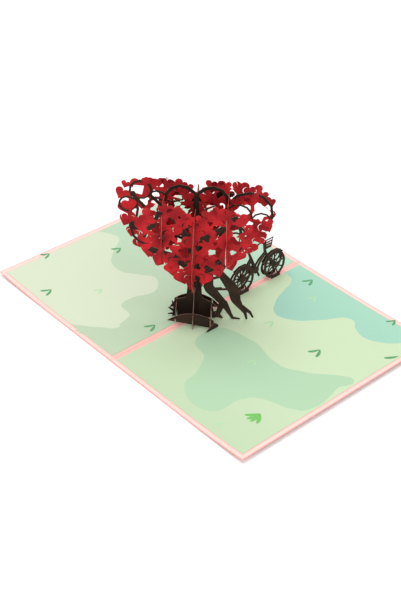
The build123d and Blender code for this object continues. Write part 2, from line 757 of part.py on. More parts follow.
def add_wheel(hub):
    """Adds a spoked wheel to the sketch in hand, with the small plate that it stands on."""
    with Locations(hub):
        add(ring(wheel_radius, rim_width, 2 * spoke_count))
        add(disc(hub_radius))
        with PolarLocations((wheel_radius - rim_width / 2) / 2, spoke_count, start_angle=90):
            Rectangle(wheel_radius - rim_width / 2, spoke_width)
    with Locations((hub[0] + 1.2, rim_width / 2)):
        Rectangle(0.8 * wheel_radius, rim_width)


def add_mudguard(hub, start_angle, sweep):
    """Adds the arched guard over a wheel to the sketch in hand."""
    radius = wheel_radius + tube_width / 4
    angles = [radians(start_angle + share * sweep) for share in (0, 0.5, 1)]
    points = [(hub[0] + radius * cos(a), hub[1] + radius * sin(a)) for a in angles]
    add(bough(*points, tube_width, tube_width))


def add_basket():
    """Adds the slatted basket in front of the handlebar to the sketch in hand."""
    low, high = head_low[1] + 2.9, ridge + 0.4
    with BuildSketch(mode=Mode.PRIVATE) as basket:
        with BuildLine():
            Polyline(
                (head_low[0] - 0.4, low),
                (head_low[0] + 5.4, low),
                (head_low[0] + 7.6, high),
                (head_low[0] - 1.4, high),
                close=True,
            )
        make_face()
        for level in range(3):
            with Locations((head_low[0] + 3.0 + 0.2 * level, low + 1.9 + 2.1 * level)):
                Rectangle(5.0 + 0.6 * level, 1.1, mode=Mode.SUBTRACT)
    add(basket.sketch)


with BuildPart() as bicycle:
    with BuildSketch(side_plane) as bicycle_side:
        add_wheel(rear_hub)
        add_wheel(front_hub)
        add_mudguard(rear_hub, 20, 110)
        add_mudguard(front_hub, 45, 110)
        add(limb(saddle, crank, tube_width, tube_width))
        add(limb(crank, rear_hub, tube_width, tube_width))
        add(limb((saddle[0] + 3.4, saddle[1] - 8.0), rear_hub, tube_width, tube_width))
        add(bough(crank, (0.53 * wheel_base, 19.6), head_low, 1.3 * tube_width, tube_width))
        add(limb(head_low, head_high, tube_width, tube_width))
        add(bough(head_low, (0.84 * wheel_base, 18.6), front_hub, tube_width, tube_width))
        add(bough(head_high, handlebar, grip, tube_width, tube_width))
        add(limb(grip, (grip[0] - 4.4, grip[1] - 1.2), tube_width, 1.2 * tube_width))
        add(limb((saddle[0] - 2.2, ridge - 1.8), (saddle[0] + 4.0, ridge - 1.0), 2.8, 2.0))
        with Locations(crank):
            add(disc(hub_radius * 1.3))
        add(limb(crank, (crank[0] + 2.4, crank[1] - 5.4), tube_width, tube_width))
        add(limb(crank, (crank[0] - 1.6, crank[1] + 5.0), tube_width, tube_width))
        add_basket()
    extrude(amount=-slat_thickness)
    split(bisect_by=Plane.YZ, keep=Keep.TOP)
    split(bisect_by=Plane.XY.offset(liner_top), keep=Keep.TOP)
    mirror(about=Plane.YZ)
bicycle.part.label = "bicycle"
export_step(bicycle.part, "parts/bicycle.step")
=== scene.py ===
# %% [markdown]
# A pop-up card made from cut paper: a cover of pink card, two printed sheets, and a tree of slotted
# brown slats that carries red paper hearts. The solids come from the CAD model. This lesson gives
# them their paper, their print and the finest layer of cut hearts, and then sets up the picture.

# %% Load the solids
import json
import math

import bmesh
import bpy
from mathutils import Matrix, Vector
from mathutils.kdtree import KDTree


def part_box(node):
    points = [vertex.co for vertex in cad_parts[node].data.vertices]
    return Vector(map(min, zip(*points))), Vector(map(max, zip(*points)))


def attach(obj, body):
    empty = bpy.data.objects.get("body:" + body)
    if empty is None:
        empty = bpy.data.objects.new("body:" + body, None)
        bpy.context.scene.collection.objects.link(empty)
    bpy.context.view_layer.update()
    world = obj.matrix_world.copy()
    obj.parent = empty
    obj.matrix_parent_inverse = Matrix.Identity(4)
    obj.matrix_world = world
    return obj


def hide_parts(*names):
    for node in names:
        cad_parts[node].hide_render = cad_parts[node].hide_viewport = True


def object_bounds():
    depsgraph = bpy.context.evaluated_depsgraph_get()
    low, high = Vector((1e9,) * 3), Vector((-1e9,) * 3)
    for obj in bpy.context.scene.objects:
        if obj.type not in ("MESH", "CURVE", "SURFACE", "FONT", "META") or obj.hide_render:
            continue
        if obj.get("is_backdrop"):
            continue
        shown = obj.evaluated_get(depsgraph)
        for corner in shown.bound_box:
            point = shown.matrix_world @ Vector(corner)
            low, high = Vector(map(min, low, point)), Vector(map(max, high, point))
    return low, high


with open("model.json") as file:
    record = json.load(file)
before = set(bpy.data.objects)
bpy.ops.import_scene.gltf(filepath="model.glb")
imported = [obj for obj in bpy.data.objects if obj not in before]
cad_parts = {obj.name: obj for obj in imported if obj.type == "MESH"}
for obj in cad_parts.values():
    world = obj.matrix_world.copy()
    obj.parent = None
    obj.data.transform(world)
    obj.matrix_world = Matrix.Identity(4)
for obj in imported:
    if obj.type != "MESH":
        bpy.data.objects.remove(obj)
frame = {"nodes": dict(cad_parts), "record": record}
solid_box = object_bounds()
nodes = frame["nodes"]
print("solids:", len(nodes), "box:", [tuple(round(v, 4) for v in corner) for corner in solid_box])

# %% [markdown]
# The camera comes first, because every finish is judged through it. Its place and lens were worked
# out from the corners of the card and the fold in the picture: the camera looks down on the card
# from the front right, about 0.9 m away, with a long lens and a slight roll.

# %% Camera
CAMERA_TURN = math.radians(47.32)
CAMERA_RISE = math.radians(36.55)
CAMERA_ROLL = math.radians(1.63)
CAMERA_AWAY = 0.88768
CAMERA_AIM = Vector((-0.0115, 0.00105, 0))
CAMERA_LENS = 75.63

back = Vector((
    math.sin(CAMERA_TURN) * math.cos(CAMERA_RISE),
    -math.cos(CAMERA_TURN) * math.cos(CAMERA_RISE),
    math.sin(CAMERA_RISE),
))
level = Vector((math.cos(CAMERA_TURN), math.sin(CAMERA_TURN), 0))
upward = back.cross(level)
right = level * math.cos(CAMERA_ROLL) + upward * math.sin(CAMERA_ROLL)
upward = upward * math.cos(CAMERA_ROLL) - level * math.sin(CAMERA_ROLL)

bpy.ops.object.camera_add(location=CAMERA_AIM + back * CAMERA_AWAY)
camera = bpy.context.object
camera.name = "view_camera"
camera.data.lens = CAMERA_LENS
camera.data.sensor_width = 36.0
camera.data.clip_start = 0.01
turned = Matrix((right, upward, back)).transposed().to_4x4()
camera.matrix_world = Matrix.Translation(CAMERA_AIM + back * CAMERA_AWAY) @ turned
bpy.context.scene.camera = camera
print("camera at", [round(v, 3) for v in camera.location])

# %% [markdown]
# A material is a small net of nodes. Writing the net as sums and products keeps it readable, so one
# class wraps a socket and adds a Math node for each operator, and one class holds a finish.

# %% Sums on sockets
class Signal:
    """One socket of a material, with the sums and products that can be made of it."""

    def __init__(self, finish, socket):
        self.finish, self.socket = finish, socket

    def math(self, operation, *others, swap=False):
        values = [self, *others]
        if swap:
            values.reverse()
        return self.finish.node("ShaderNodeMath", dict(enumerate(values)), operation=operation)

    def __add__(self, other):
        return self.math("ADD", other)

    def __sub__(self, other):
        return self.math("SUBTRACT", other)

    def __rsub__(self, other):
        return self.math("SUBTRACT", other, swap=True)

    def __mul__(self, other):
        return self.math("MULTIPLY", other)

    def __truediv__(self, other):
        return self.math("DIVIDE", other)

    def __abs__(self):
        return self.math("ABSOLUTE")

    __radd__ = __add__
    __rmul__ = __mul__


# %% One finish
class Finish:
    """A material with a plain paper shader and short ways to add nodes to it."""

    def __init__(self, name, roughness=0.75):
        self.material = bpy.data.materials.new(name)
        self.material.use_nodes = True
        self.tree = self.material.node_tree
        self.shader = self.tree.nodes["Principled BSDF"]
        self.shader.inputs["Roughness"].default_value = roughness
        self.shader.inputs["Specular IOR Level"].default_value = 0.25
        self.place = self.node("ShaderNodeTexCoord", output="Object")

    def feed(self, socket, value):
        """Sets a socket to a value, or links another socket to it."""
        if isinstance(value, Signal):
            self.tree.links.new(value.socket, socket)
        else:
            socket.default_value = value

    def node(self, kind, inputs=(), output=0, stops=None, **settings):
        """Adds a node: its settings first, then what goes into its sockets."""
        new = self.tree.nodes.new(kind)
        for key, value in settings.items():
            setattr(new, key, value)
        if stops:
            line = new.mapping.curves[0].points
            for point, stop in zip(line, (stops[0], stops[-1])):
                point.location = stop
            for stop in stops[1:-1]:
                line.new(*stop)
            new.mapping.update()
        for key, value in dict(inputs).items():
            self.feed(new.inputs[key], value)
        return Signal(self, new.outputs[output])

    def noise(self, scale, detail=2.0, rough=0.5):
        """A soft random grey value over the piece, from 0 to 1."""
        inputs = {"Vector": self.place, "Scale": scale, "Detail": detail, "Roughness": rough}
        return self.node("ShaderNodeTexNoise", inputs)

    def blend(self, share, first, second):
        """Mixes two colours by a share that runs from 0 to 1."""
        inputs = {0: share, 6: first, 7: second}
        return self.node("ShaderNodeMix", inputs, output=2, data_type="RGBA")

    def step(self, value, low, high):
        """Runs smoothly from 0 to 1 while the value runs from low to high."""
        inputs = {"Value": value, "From Min": low, "From Max": high}
        return self.node("ShaderNodeMapRange", inputs, interpolation_type="SMOOTHSTEP")

    def colour(self, value):
        self.feed(self.shader.inputs["Base Color"], value)

    def bump(self, height, distance):
        """Gives the surface a fine relief."""
        inputs = {"Height": height, "Distance": distance, "Strength": 1.0}
        self.feed(self.shader.inputs["Normal"], self.node("ShaderNodeBump", inputs, output="Normal"))


def ink(red, green, blue):
    """A colour as it is seen on a screen, from 0 to 255, turned into the light values of a render."""
    parts = [v / 255 for v in (red, green, blue)]
    return (*[v / 12.92 if v <= 0.04045 else ((v + 0.055) / 1.055) ** 2.4 for v in parts], 1.0)


# %% [markdown]
# Laser-cut card shows two things: matt faces with short fibres, and cut edges in another tone,
# scorched to taupe on brown card and paler on red paper. Each sheet is flat, so a point is on its
# face where the surface looks the way that the sheet faces, and on a cut edge anywhere else. The
# slats stand at 45 degrees and face one of the two diagonals.

# %% Paper and its cut edges
DIAGONAL = math.sqrt(0.5)
FACINGS = {
    "front": (DIAGONAL, -DIAGONAL, 0),
    "cross": (DIAGONAL, DIAGONAL, 0),
    "side": (1, 0, 0),
}


def paper(name, facing, face, dark_and_shade_face, edge, grain=0.00006):
    """Matt coloured card: a mottled face whose darker patches are partly painted shade, short fibres and
    a cut edge of its own tone.
    """
    finish = Finish(f"{name}_{facing}")
    normal = finish.node("ShaderNodeTexCoord", output="Normal")
    inputs = {0: normal, 1: FACINGS[facing]}
    squareness = abs(finish.node("ShaderNodeVectorMath", inputs, output="Value", operation="DOT_PRODUCT"))
    fibres = finish.noise(2600, 4.0, 0.65)
    cloud = finish.noise(95, 3.0)
    # The darker mottle is partly the card's own uneven tone and partly painted shade: its darker patches
    # stand in for shade, most of all inside the red crowns.
    tone = finish.step(cloud * 0.65 + fibres * 0.35, 0.36, 0.64)
    on_face = finish.step(squareness, 0.90, 0.97)
    finish.colour(finish.blend(on_face, edge, finish.blend(tone, dark_and_shade_face, face)))
    finish.bump(fibres, grain)
    return finish


# Face, darker mottle and cut edge of each paper. The darker red is painted shade as well as tone: it
# stands in for the shade inside the crowns.
PAPERS = {
    "brown_card": (ink(54, 36, 25), ink(30, 19, 12), ink(138, 104, 90)),
    "brown_figures": (ink(60, 42, 31), ink(40, 27, 19), ink(104, 84, 72)),
    "red_paper": (ink(203, 30, 38), ink(138, 12, 22), ink(210, 70, 66)),
}
papers = {
    (name, facing): paper(name, facing, *tones) for name, tones in PAPERS.items() for facing in FACINGS
}
print("papers:", len(papers))

# %% [markdown]
# The cover is one sheet of uncoated pink card. Only its margins and the strip beside the fold show,
# so it needs a quiet grain, painted shade along the fold, which makes the pink darker and warmer
# there, and a deeper pink along its cut edge and beside the printed sheets.

# %% Pink card of the cover
pink_card = Finish("pink_card", 0.8)
x_at = Signal(pink_card, pink_card.node("ShaderNodeSeparateXYZ", {0: pink_card.place}).socket)
y_at = Signal(pink_card, x_at.socket.node.outputs["Y"])
# Painted shade along the fold: the pink turns darker and warmer within about 1.6 mm of the middle line.
crease_shade = 1 - pink_card.step(abs(x_at), 0.0006, 0.0016)
COVER_LOW, COVER_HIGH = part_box("cover")
inward = (COVER_HIGH.x - abs(x_at)).math("MINIMUM", COVER_HIGH.y - abs(y_at))
edge_line = 1 - pink_card.step(inward, 0.0004, 0.0010)
inner_line = pink_card.step(inward, 0.0026, 0.0034)
pink_fibres = pink_card.noise(1800, 4.0, 0.6)
pink_tone = pink_card.blend(pink_fibres, ink(255, 202, 194), ink(250, 214, 206))
pink_tone = pink_card.blend(edge_line * 0.9 + inner_line * 0.5, pink_tone, ink(240, 168, 158))
pink_card.colour(pink_card.blend(crease_shade * 0.5, pink_tone, ink(238, 178, 166)))
pink_card.bump(pink_fibres, 0.00005)
print("pink card:", len(pink_card.tree.nodes), "nodes")

# %% [markdown]
# The two liners are printed with wide fields of pale green, cream and teal whose edges wave softly.
# Each field is a mask in the material. A round field gives the distance of its edge from a centre
# for every direction, and a wave gives the height of its edge for every place across the card.

# %% Masks for the printed fields
def round_field(finish, x, y, centre, reaches, softness=0.7):
    """Mask of a field round a centre: reaches are pairs of direction, in degrees, and distance in mm."""
    over, up = x - centre[0], y - centre[1]
    direction = over.math("MULTIPLY", -1.0)
    direction = (up * -1).math("ARCTAN2", direction) / math.tau + 0.5
    turns = sorted(((angle % 360) / 360, reach / 100) for angle, reach in reaches)
    seam = (turns[0][1] + turns[-1][1]) / 2
    stops = [(0, seam), *turns, (1, seam)]
    edge = finish.node("ShaderNodeFloatCurve", {"Value": direction}, stops=stops) * 100
    away = (over * over + up * up).math("SQRT")
    return finish.step(edge - away, -softness / 2, softness / 2)


def wave_field(finish, x, y, heights, softness=0.7):
    """Mask of all that lies beyond a waving line: heights are pairs of place across and along, in mm."""
    stops = [((across + 130) / 260, (along + 100) / 200) for across, along in heights]
    stops = [(0, stops[0][1]), *stops, (1, stops[-1][1])]
    line = finish.node("ShaderNodeFloatCurve", {"Value": (x + 130) / 260}, stops=stops) * 200 - 100
    return finish.step(y - line, -softness / 2, softness / 2)


PRINT_LIGHT = 0.79


def print_ink(red, green, blue):
    """An ink as it looks on the printed sheets, whose matt paper takes some of the light."""
    return (*[PRINT_LIGHT * part for part in ink(red, green, blue)[:3]], 1.0)


def printed(name):
    """A printed sheet's finish, with its places across and along the card in mm."""
    finish = Finish(name, 0.7)
    parts = finish.node("ShaderNodeSeparateXYZ", {0: finish.place})
    x, y = (Signal(finish, parts.socket.node.outputs[axis]) * 1000 for axis in "XY")
    return finish, x, y


def finish_print(finish, colour):
    """Lays the paper's fine grain under the print."""
    grain = finish.noise(2200, 4.0, 0.6)
    finish.colour(finish.blend(grain * 0.1, colour, print_ink(255, 255, 244)))
    finish.bump(grain, 0.00003)


# %% Print of the left leaf
print_left, x, y = printed("print_left")
cream_reaches = [
    (48, 64), (57, 64), (64.4, 53), (83, 40), (104, 53.6), (111, 69.6), (127, 68.6), (180, 60),
    (230, 60), (290, 40), (325, 45), (347.2, 54.3), (359.9, 61), (12.3, 56.3), (19.6, 44.6), (32, 48),
]
cream = round_field(print_left, x, y, (-85, -60), cream_reaches)
mint = print_left.step(y, -30.0, 70.0)
left_base = print_left.blend(mint, print_ink(198, 222, 188), print_ink(196, 234, 208))
finish_print(print_left, print_left.blend(cream, left_base, print_ink(224, 237, 208)))
print("left print:", len(print_left.tree.nodes), "nodes")

# %% Print of the right leaf
print_right, x, y = printed("print_right")
green_reaches = [
    (162, 58), (153, 52.8), (138, 40.4), (90, 23), (60.5, 34.5), (51.5, 56.2), (46, 65), (38.3, 54.8),
    (12, 48), (357, 40), (321.3, 19.2), (292.3, 23.8), (281.3, 40.8), (264, 46.3), (240, 46),
    (216.3, 37.2), (195.1, 38.3), (184.3, 53), (175, 57.2),
]
green = round_field(print_right, x, y, (75, -30), green_reaches)
teal_line = [
    (3, 70), (12, 68), (18, 55), (24, 40), (35, 30), (45, 33), (60, 50), (73, 66), (82, 60), (92, 57),
    (105, 62), (122, 77),
]
teal = wave_field(print_right, x, y, teal_line)
near = print_right.step(y, -88.0, -10.0)
right_base = print_right.blend(near, print_ink(204, 230, 190), print_ink(216, 239, 198))
far = print_right.step(y, 30.0, 88.0)
teal_ink = print_right.blend(far, print_ink(166, 220, 198), print_ink(174, 228, 202))
right_print = print_right.blend(green, right_base, print_ink(188, 227, 187))
finish_print(print_right, print_right.blend(teal, right_print, teal_ink))
print("printed sheets:", print_left.material.name, print_right.material.name)

# %% [markdown]
# Most solids keep their own mesh and only take a material. The record names a slot for each node. For
# the papers its name also tells the way that the piece faces.

# %% Hand out the finishes
finishes = {"pink_card": pink_card, "printed_left": print_left, "printed_right": print_right}
slot_of = {entry["node"]: entry["material_slot"] for entry in frame["record"]["subparts"]}
FACES_CROSS = ("cross", "base_arch")
FACES_SIDE = ("anchor", "bicycle")


def facing_of(name):
    """The way a paper piece faces, told by its name."""
    if any(word in name for word in FACES_SIDE):
        return "side"
    return "cross" if any(word in name for word in FACES_CROSS) else "front"


def finish_of(name):
    """The finish of a node: its paper as it faces, or its print."""
    return papers.get((slot_of[name], facing_of(name))) or finishes[slot_of[name]]


for name, solid in nodes.items():
    solid.data.materials.clear()
    solid.data.materials.append(finish_of(name).material)
print("dressed", len(nodes), "solids")

# %% [markdown]
# The red sheets are not plain. Each heart in them is picked out by slim crescents, cut beside its
# lobes, and the paper holds together at the heart's notch and tip. The windows between hearts
# have soft lobes too, where the solids have plain four-cornered ones. So each sheet is cut again
# here, from a copy of its solid: by a crescent-shaped knife for each lobe of a heart, and by a
# three-lobed one for each window. Hearts could also be modelled one by one, but then hundreds of them
# would hang together by points. A cut sheet stays a sheet, as on the real card.

# %% Outlines of the knives
def heart_point(turn, swell):
    """A point on a heart 1 mm wide, pushed outward by a swell. The turn runs from the notch."""
    rise = 13 * math.cos(turn) - 5 * math.cos(2 * turn) - 2 * math.cos(3 * turn) - math.cos(4 * turn)
    across, up = math.sin(turn) ** 3 / 2, (rise + 2.5) / 32
    stretch = 1 + swell / math.hypot(across, up)
    return across * stretch, up * stretch


def crescent(first, last, width, steps=9):
    """Corners of a crescent along the heart's outline, from one turn to another, in degrees."""
    shares = [step / (steps - 1) for step in range(steps)]
    turns = [math.radians(first + (last - first) * share) for share in shares]
    swells = [width * (0.1 + math.sin(math.pi * share)) for share in shares]
    outer = [heart_point(turn, swell) for turn, swell in zip(turns, swells)]
    return outer + [heart_point(turn, 0) for turn in turns][::-1]


def trefoil(corners=18, wave=0.34):
    """Corners of a round opening with three soft lobes, 1 mm in mean radius."""
    turns = [math.tau * corner / corners for corner in range(corners)]
    radii = [1 + wave * math.cos(3 * turn) for turn in turns]
    return [(radius * math.cos(turn), radius * math.sin(turn)) for radius, turn in zip(radii, turns)]


print("a crescent has", len(crescent(26, 116, 0.085)), "corners, a window", len(trefoil()))

# %% [markdown]
# An outline becomes a solid by an extrusion. A knife has to reach through the whole sheet, because a
# cut that ends in a face of the paper leaves a ragged edge. So it is made far thicker than the paper.

# %% From an outline to a knife
def add_prism(corners, thickness):
    """A flat outline in mm, made as thick as asked on both sides of its plane."""
    bpy.ops.object.select_all(action="DESELECT")
    bpy.ops.mesh.primitive_circle_add(vertices=len(corners), radius=1, fill_type="NGON")
    prism = bpy.context.object
    for point, (across, up) in zip(prism.data.vertices, corners):
        point.co = (across / 1000, up / 1000, -thickness / 2)
    bpy.ops.object.mode_set(mode="EDIT")
    bpy.ops.mesh.select_all(action="SELECT")
    bpy.ops.mesh.extrude_region_move(TRANSFORM_OT_translate={"value": (0, 0, thickness)})
    bpy.ops.mesh.select_all(action="SELECT")
    bpy.ops.mesh.normals_make_consistent(inside=False)
    bpy.ops.object.mode_set(mode="OBJECT")
    return prism


def join(parts):
    """Joins parts into one object, which stays active and selected."""
    bpy.ops.object.select_all(action="DESELECT")
    for part in parts:
        part.select_set(True)
    bpy.context.view_layer.objects.active = parts[0]
    if len(parts) > 1:
        bpy.ops.object.join()
    return bpy.context.object


KNIFE_DEPTH = 0.0024
LOBES = ((26, 116), (-126, -40))
WIDE, SLIM = 0.085, 0.045
wide_knives, slim_knives = (
    [add_prism(crescent(first, last, width), KNIFE_DEPTH) for first, last in LOBES]
    for width in (WIDE, SLIM)
)
round_knife = add_prism(trefoil(), KNIFE_DEPTH)
print("one knife has", len(round_knife.data.polygons), "faces")

# %% [markdown]
# Next come the hearts' places: across and up in hundredths of a crown's half width and height, then
# the size in mm and the lean in degrees. In the two crowns that the picture shows they were read from
# it. In the others they follow an even pattern.

# %% Where the hearts are
SMALL, MIDDLE, LARGE, GREAT = 6.4, 8.2, 10.2, 12.6
S, M, L, G = SMALL, MIDDLE, LARGE, GREAT
front_hearts = [
    (-87, 88, M, -15), (-71, 94, M, 10), (-53, 94, L, -5), (-32, 96, M, 10), (-16, 88, M, -10),
    (13, 86, S, 0), (24, 89, M, 15), (42, 93, L, -5), (60, 91, M, 10), (79, 92, M, -10),
    (90, 84, M, 15), (-92, 76, M, -20), (-72, 80, M, 15), (-45, 81, L, 10), (-24, 77, L, -15),
    (-8, 73, M, 5), (18, 76, M, 10), (37, 79, M, -20), (56, 77, L, 5), (76, 77, M, 20),
    (95, 71, L, -10), (-86, 64, L, -25), (-66, 58, L, 15), (-50, 67, L, -10), (-35, 60, G, 0),
    (8, 64, M, 15), (27, 62, M, -15), (45, 67, L, 10), (72, 58, L, -5), (88, 60, L, 15),
    (-74, 47, L, 10), (-55, 47, L, -15), (-33, 45, G, 5), (-6, 53, M, -10), (15, 52, G, 10),
    (52, 48, L, -10), (73, 43, G, 10), (94, 46, M, -20), (-50, 35, L, 10), (-30, 30, L, -10),
    (-12, 37, L, 15), (13, 36, G, -5), (37, 34, G, 10), (58, 31, L, -15), (73, 27, M, 10),
    (-28, 20, M, -10), (-4, 23, M, 5), (17, 22, G, -10), (37, 19, L, 15), (-11, 12, M, -15),
    (6, 11, L, 10), (-2, 4, S, 0),
]
middle_hearts = [
    (-88, 93, M, -20), (-72, 96, L, 5), (-58, 95, L, -10), (-45, 98, M, 10), (-35, 94, M, -5),
    (-26, 97, L, -5), (-12, 91, M, -30), (-27, 86, L, 15), (-7, 82, M, -20), (3, 78, M, 10),
    (-94, 82, L, -30), (-86, 75, L, 5), (-90, 61, L, -30), (-82, 48, M, -15), (9, 92, M, 15),
    (17, 98, M, -10), (26, 98, M, 10), (36, 95, L, -5), (45, 94, M, 15), (53, 97, S, 0),
    (60, 94, M, -10), (69, 89, L, 10), (82, 85, L, 5), (93, 80, M, 25), (11, 84, L, -15),
    (17, 74, L, 10), (93, 72, M, -15), (98, 68, M, 50), (89, 57, L, -10), (82, 46, L, 10),
    (-68, 38, L, -20), (-53, 31, L, 10), (-37, 22, L, -15), (-20, 13, M, 10), (-6, 8, M, -10),
    (68, 36, L, 20), (53, 29, L, -10), (37, 21, L, 15), (20, 12, M, -10), (-62, 58, G, 10),
    (60, 55, G, -10), (-18, 50, G, -10), (18, 48, G, 10),
]


PHOTOGRAPHED = {
    "front_blossom": (front_hearts, 38, 39, 104.5),
    "middle_blossom": (middle_hearts, 51, 24, 112),
}
RIM_EDGE = 4.5
ROW_HEIGHT, HEART_STEP = 11, 12.5


def even_hearts(half, high):
    """An even pattern of hearts for a crown of a given half width and height, in mm."""
    places = []
    rows = round(high / ROW_HEIGHT)
    for row in range(rows):
        up = (row + 0.8) / (rows + 0.3)
        reach = half * min(1.0, 0.25 + 1.25 * up) * 0.9
        count = max(1, round(2 * reach / HEART_STEP))
        for column in range(count):
            across = reach * ((2 * column + 1) / count - 1) + 1.6 * math.sin(2.3 * row + column)
            size = (MIDDLE, LARGE, GREAT)[(row + 2 * column) % 3]
            places.append((100 * across / half, 100 * up, size, 16 * math.sin(1.9 * column + 2.7 * row)))
    return places


print("read from the picture:", len(front_hearts), "and", len(middle_hearts), "hearts")

# %% [markdown]
# A cut may run into a window, the rim or another cut, and it only makes that opening larger. But a
# cut that closes a ring round some paper sets it loose. So every opening has a number, openings that
# meet share one, and a knife is left out where its marks meet the same opening twice. The test is
# coarse, and some small scraps still come loose. They are dropped once the sheet is cut.

# %% Openings that have met
BRIDGE = 0.0005


class Openings:
    """The openings of a sheet: points along their edges, and which of them have met."""

    def __init__(self):
        self.points, self.owners, self.met = [], [], {}

    def root(self, owner):
        while self.met.setdefault(owner, owner) != owner:
            owner = self.met[owner]
        return owner

    def unite(self, first, last):
        self.met[self.root(first)] = self.root(last)

    def add(self, owner, points):
        self.points += points
        self.owners += [owner] * len(points)

    def grow_tree(self):
        self.tree = KDTree(len(self.points))
        for index, point in enumerate(self.points):
            self.tree.insert(point, index)
        self.tree.balance()

    def touched(self, mark):
        """The openings that come too near to a mark."""
        return {self.root(self.owners[index]) for _, index, _ in self.tree.find_range(mark, BRIDGE)}

    def windows(self):
        """The middle, mean radius and number of each opening but the rim."""
        groups = {}
        for point, owner in zip(self.points, self.owners):
            groups.setdefault(self.root(owner), []).append(point)
        rim = max(groups, key=lambda owner: len(groups[owner]))
        for owner in sorted(groups):
            if owner != rim:
                middle = sum(groups[owner], Vector()) / len(groups[owner])
                radius = sum((point - middle).length for point in groups[owner]) / len(groups[owner])
                yield middle, radius, owner

    def try_cut(self, name, marks, host=None):
        """Takes a closed row of marks as a new opening, unless they meet an opening twice."""
        host = host if host is None else self.root(host)
        contacts = [self.touched(mark) - {host} for mark in marks]
        for owner in set().union(*contacts):
            hits = [owner in contact for contact in contacts]
            if sum(hit and not hits[index - 1] for index, hit in enumerate(hits)) != 1:
                return False
        for owner in set().union(*contacts) | ({host} - {None}):
            self.unite(owner, name)
        self.add(name, marks)
        self.grow_tree()
        return True


# %% [markdown]
# The openings that a solid already has are read from its mesh: a cut edge is sharp, so the edges of
# the front face that turn sharply are the rim and the windows. That needs no list of the windows, and
# it still fits when the solid changes. A knife then lays the marks of its own rim against them.

# %% Read the openings and try a knife
def read_openings(sheet, facing, spacing=0.0003):
    """The rim and windows of a sheet, read from the sharp edges of its front."""
    shape = bmesh.new()
    shape.from_mesh(sheet.data)
    front = max(corner.co.dot(facing) for corner in shape.verts) - 0.00005
    openings = Openings()
    for edge in shape.edges:
        first, last = edge.verts
        if edge.calc_face_angle(0) > 0.5 and min(first.co.dot(facing), last.co.dot(facing)) > front:
            openings.unite(first.index, last.index)
            steps = max(1, round((last.co - first.co).length / spacing))
            openings.add(first.index, [first.co.lerp(last.co, step / steps) for step in range(steps + 1)])
    shape.free()
    openings.grow_tree()
    return openings


def try_knife(openings, name, knife, place, facing, host=None):
    """A copy of a knife at its place, or nothing where its marks fail the test."""
    front = openings.points[0].dot(facing)
    blade = knife.data.copy()
    blade.transform(place)
    rim = [point.co for point in blade.vertices][:len(blade.vertices) // 2]
    marks = [point + facing * (front - point.dot(facing)) for point in rim]
    if not openings.try_cut(name, marks, host):
        bpy.data.meshes.remove(blade)
        return None
    tool = bpy.data.objects.new("knife", blade)
    bpy.context.collection.objects.link(tool)
    return tool


# %% [markdown]
# Each sheet has a frame of its own: its half width, the foot and top of its pattern and its middle
# line. A flat shape is stood upright in that frame, turned to look the way that the sheet faces.

# %% Places in a sheet
def standing(spot, facing, lean=0.0):
    """Turns a flat shape upright at a spot, so that it looks one way, and leans it in its plane."""
    sideways = Vector((0, 0, 1)).cross(facing)
    upright = Matrix((sideways, Vector((0, 0, 1)), facing)).transposed().to_4x4()
    return Matrix.Translation(spot) @ upright @ Matrix.Rotation(math.radians(lean), 4, "Z")


CARD_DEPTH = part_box("cover")[1].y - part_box("cover")[0].y
TREE_CENTRE = Vector((0, -0.087 * CARD_DEPTH, 0))


def crown_frame(name):
    """Half width, foot and top of a crown's pattern in mm, and the foot of its middle line."""
    low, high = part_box(name)
    facing = Vector(FACINGS[facing_of(name)])
    level = facing * ((low + high) / 2 - TREE_CENTRE).dot(facing)
    if name in PHOTOGRAPHED:
        return *PHOTOGRAPHED[name][1:], TREE_CENTRE + level
    half = 500 * math.hypot(high.x - low.x, high.y - low.y)
    return half - RIM_EDGE, 1000 * low.z + RIM_EDGE, 1000 * high.z - RIM_EDGE, TREE_CENTRE + level


def heart_places(name):
    """A matrix for each heart of a sheet. Its places are in hundredths of half width and of height."""
    half, foot, top, middle = crown_frame(name)
    facing = Vector(FACINGS[facing_of(name)])
    sideways = Vector((0, 0, 1)).cross(facing)
    hearts = PHOTOGRAPHED[name][0] if name in PHOTOGRAPHED else even_hearts(half, top - foot)
    places = []
    for over, up, size, lean in hearts:
        spot = middle + sideways * half * over / 1e5
        spot.z = (foot + (top - foot) * up / 100) / 1000
        places.append(standing(spot, facing, lean) @ Matrix.Diagonal((size, size, 1, 1)))
    return places, facing


print("foot of the trunk:", [round(v, 4) for v in TREE_CENTRE])

# %% [markdown]
# On the real card one looks through the crowns to the ground between the hearts. The solids are more
# closed than that, so three crowns get further windows: across and up from the trunk's foot, then the
# mean radius, all in mm. One that fails the test is tried again smaller, and then left out.

